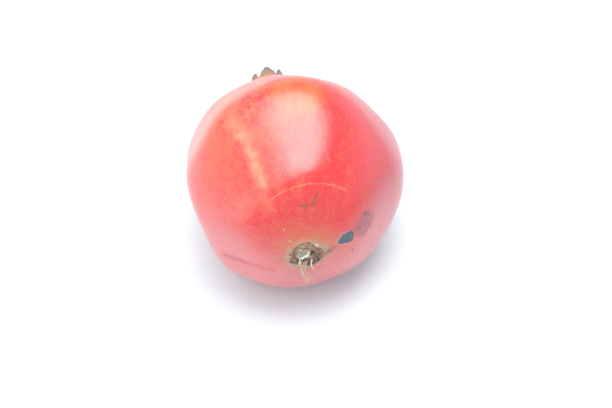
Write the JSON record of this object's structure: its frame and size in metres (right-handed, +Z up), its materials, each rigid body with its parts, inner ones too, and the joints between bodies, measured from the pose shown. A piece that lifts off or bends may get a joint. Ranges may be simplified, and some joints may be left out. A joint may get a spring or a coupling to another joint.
{
  "type": "pomegranate",
  "caption": "Ripe red pomegranate lying on its side, with faceted rind, open lobed crown, broken woody stem end and dried stamens.",
  "frame": {"origin": "middle of the small flat spot under the fruit that it rests on", "axes": "+Z is up from the resting spot, +Y runs along the fruit from the stem to the crown, and +X is to the right when the stem faces the viewer"},
  "size_m": [0.0902, 0.1039, 0.0879],
  "materials": {
    "rind": "smooth waxy red rind with orange streaks, soft sheen",
    "stub_wood": "dry broken wood, matt",
    "dry_fibre": "dry straw-coloured bark fibre, matt",
    "dry_stamen": "dry brown flower thread, matt"
  },
  "bodies": {
    "root": {"fruit": "rind", "stem_stub": "stub_wood", "stem_fibre_1": "dry_fibre", "stem_fibre_2": "dry_fibre", "stem_fibre_3": "dry_fibre", "stem_fibre_4": "dry_fibre", "stem_fibre_5": "dry_fibre", "stem_fibre_6": "dry_fibre", "stamen_01": "dry_stamen", "stamen_02": "dry_stamen", "stamen_03": "dry_stamen", "stamen_04": "dry_stamen", "stamen_05": "dry_stamen", "stamen_06": "dry_stamen", "stamen_07": "dry_stamen", "stamen_08": "dry_stamen", "stamen_09": "dry_stamen", "stamen_10": "dry_stamen", "stamen_11": "dry_stamen", "stamen_12": "dry_stamen", "stamen_13": "dry_stamen", "stamen_14": "dry_stamen", "stamen_15": "dry_stamen", "stamen_16": "dry_stamen", "stamen_17": "dry_stamen", "stamen_18": "dry_stamen", "stamen_19": "dry_stamen", "stamen_20": "dry_stamen", "stamen_21": "dry_stamen", "stamen_22": "dry_stamen", "stamen_23": "dry_stamen", "stamen_24": "dry_stamen"}
  },
  "joints": []
}
